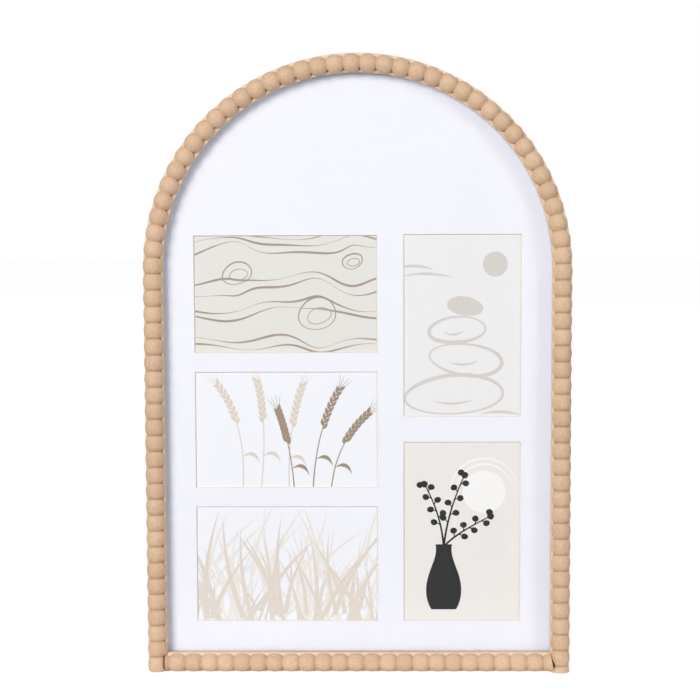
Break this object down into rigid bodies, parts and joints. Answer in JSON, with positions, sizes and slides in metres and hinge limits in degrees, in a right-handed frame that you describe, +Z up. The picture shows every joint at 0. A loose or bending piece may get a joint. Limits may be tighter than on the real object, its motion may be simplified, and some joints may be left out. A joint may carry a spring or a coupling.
{
  "type": "collage photo frame",
  "caption": "Arched wall photo frame with half-round bobbin-bead wooden trim, a white mat with landscape and portrait windows, turn-button back and ring hangers.",
  "frame": {"origin": "on the floor plane, at the middle of the frame's width and depth", "axes": "+Z up the frame, the front faces -Y, +X to the viewer's right"},
  "size_m": [0.325, 0.0252, 0.4726],
  "materials": {
    "rail_wood": "pale wood, matt, unvarnished",
    "bead_wood": "turned pale wood, matt",
    "clear_glazing": "clear, polished",
    "white_mat": "smooth white paper face, cream cut edges",
    "print_paper": "uncoated printed paper",
    "paper_tape": "paper tape",
    "fibreboard": "smooth brown fibreboard",
    "zinc_steel": "zinc plated",
    "soft_pad": "soft, matt"
  },
  "bodies": {
    "frame": {"arch_rail": "rail_wood", "bottom_rail": "rail_wood", "corner_dowels": "rail_wood", "arch_bead_trim": "bead_wood", "bottom_bead_trim": "bead_wood", "glazing": "clear_glazing", "mat_board": "white_mat", "backing_board": "fibreboard", "print_tapes": "paper_tape", "turn_button_screws": "zinc_steel", "hanger_screws": "zinc_steel", "print_left_bottom": "print_paper", "print_left_middle": "print_paper", "print_left_top": "print_paper", "print_right_bottom": "print_paper", "print_right_top": "print_paper", "hanger_strap_left": "zinc_steel", "wall_bumper_left": "soft_pad", "hanger_strap_right": "zinc_steel", "wall_bumper_right": "soft_pad"},
    "turn_button_bottom_left": {"turn_button_bottom_left": "zinc_steel"},
    "turn_button_bottom_right": {"turn_button_bottom_right": "zinc_steel"},
    "turn_button_left_low": {"turn_button_left_low": "zinc_steel"},
    "turn_button_left_high": {"turn_button_left_high": "zinc_steel"},
    "turn_button_right_low": {"turn_button_right_low": "zinc_steel"},
    "turn_button_right_high": {"turn_button_right_high": "zinc_steel"},
    "turn_button_arch_left": {"turn_button_arch_left": "zinc_steel"},
    "turn_button_arch_right": {"turn_button_arch_right": "zinc_steel"},
    "hanger_ring_left": {"hanger_ring_left": "zinc_steel"},
    "hanger_ring_right": {"hanger_ring_right": "zinc_steel"}
  },
  "joints": [
    {"name": "turn_button_bottom_left_turn", "type": "hinge", "parent": "frame", "child": "turn_button_bottom_left", "pos_m": [-0.08, 0.00948, 0.00458], "axis": [0, 1, 0], "range_deg": [-90, 90]},
    {"name": "turn_button_bottom_right_turn", "type": "hinge", "parent": "frame", "child": "turn_button_bottom_right", "pos_m": [0.08, 0.00948, 0.00458], "axis": [0, 1, 0], "range_deg": [-90, 90]},
    {"name": "turn_button_left_low_turn", "type": "hinge", "parent": "frame", "child": "turn_button_left_low", "pos_m": [-0.15757, 0.00948, 0.075], "axis": [0, 1, 0], "range_deg": [-90, 90]},
    {"name": "turn_button_left_high_turn", "type": "hinge", "parent": "frame", "child": "turn_button_left_high", "pos_m": [-0.15757, 0.00948, 0.215], "axis": [0, 1, 0], "range_deg": [-90, 90]},
    {"name": "turn_button_right_low_turn", "type": "hinge", "parent": "frame", "child": "turn_button_right_low", "pos_m": [0.15757, 0.00948, 0.075], "axis": [0, 1, 0], "range_deg": [-90, 90]},
    {"name": "turn_button_right_high_turn", "type": "hinge", "parent": "frame", "child": "turn_button_right_high", "pos_m": [0.15757, 0.00948, 0.215], "axis": [0, 1, 0], "range_deg": [-90, 90]},
    {"name": "turn_button_arch_left_turn", "type": "hinge", "parent": "frame", "child": "turn_button_arch_left", "pos_m": [-0.10544, 0.00948, 0.4275], "axis": [0, 1, 0], "range_deg": [-90, 90]},
    {"name": "turn_button_arch_right_turn", "type": "hinge", "parent": "frame", "child": "turn_button_arch_right", "pos_m": [0.10544, 0.00948, 0.4275], "axis": [0, 1, 0], "range_deg": [-90, 90]},
    {"name": "hanger_ring_left_swing", "type": "hinge", "parent": "frame", "child": "hanger_ring_left", "pos_m": [-0.15675, 0.01023, 0.3024], "axis": [1, 0, 0], "range_deg": [0, 180]},
    {"name": "hanger_ring_right_swing", "type": "hinge", "parent": "frame", "child": "hanger_ring_right", "pos_m": [0.15675, 0.01023, 0.3024], "axis": [1, 0, 0], "range_deg": [0, 180]}
  ]
}
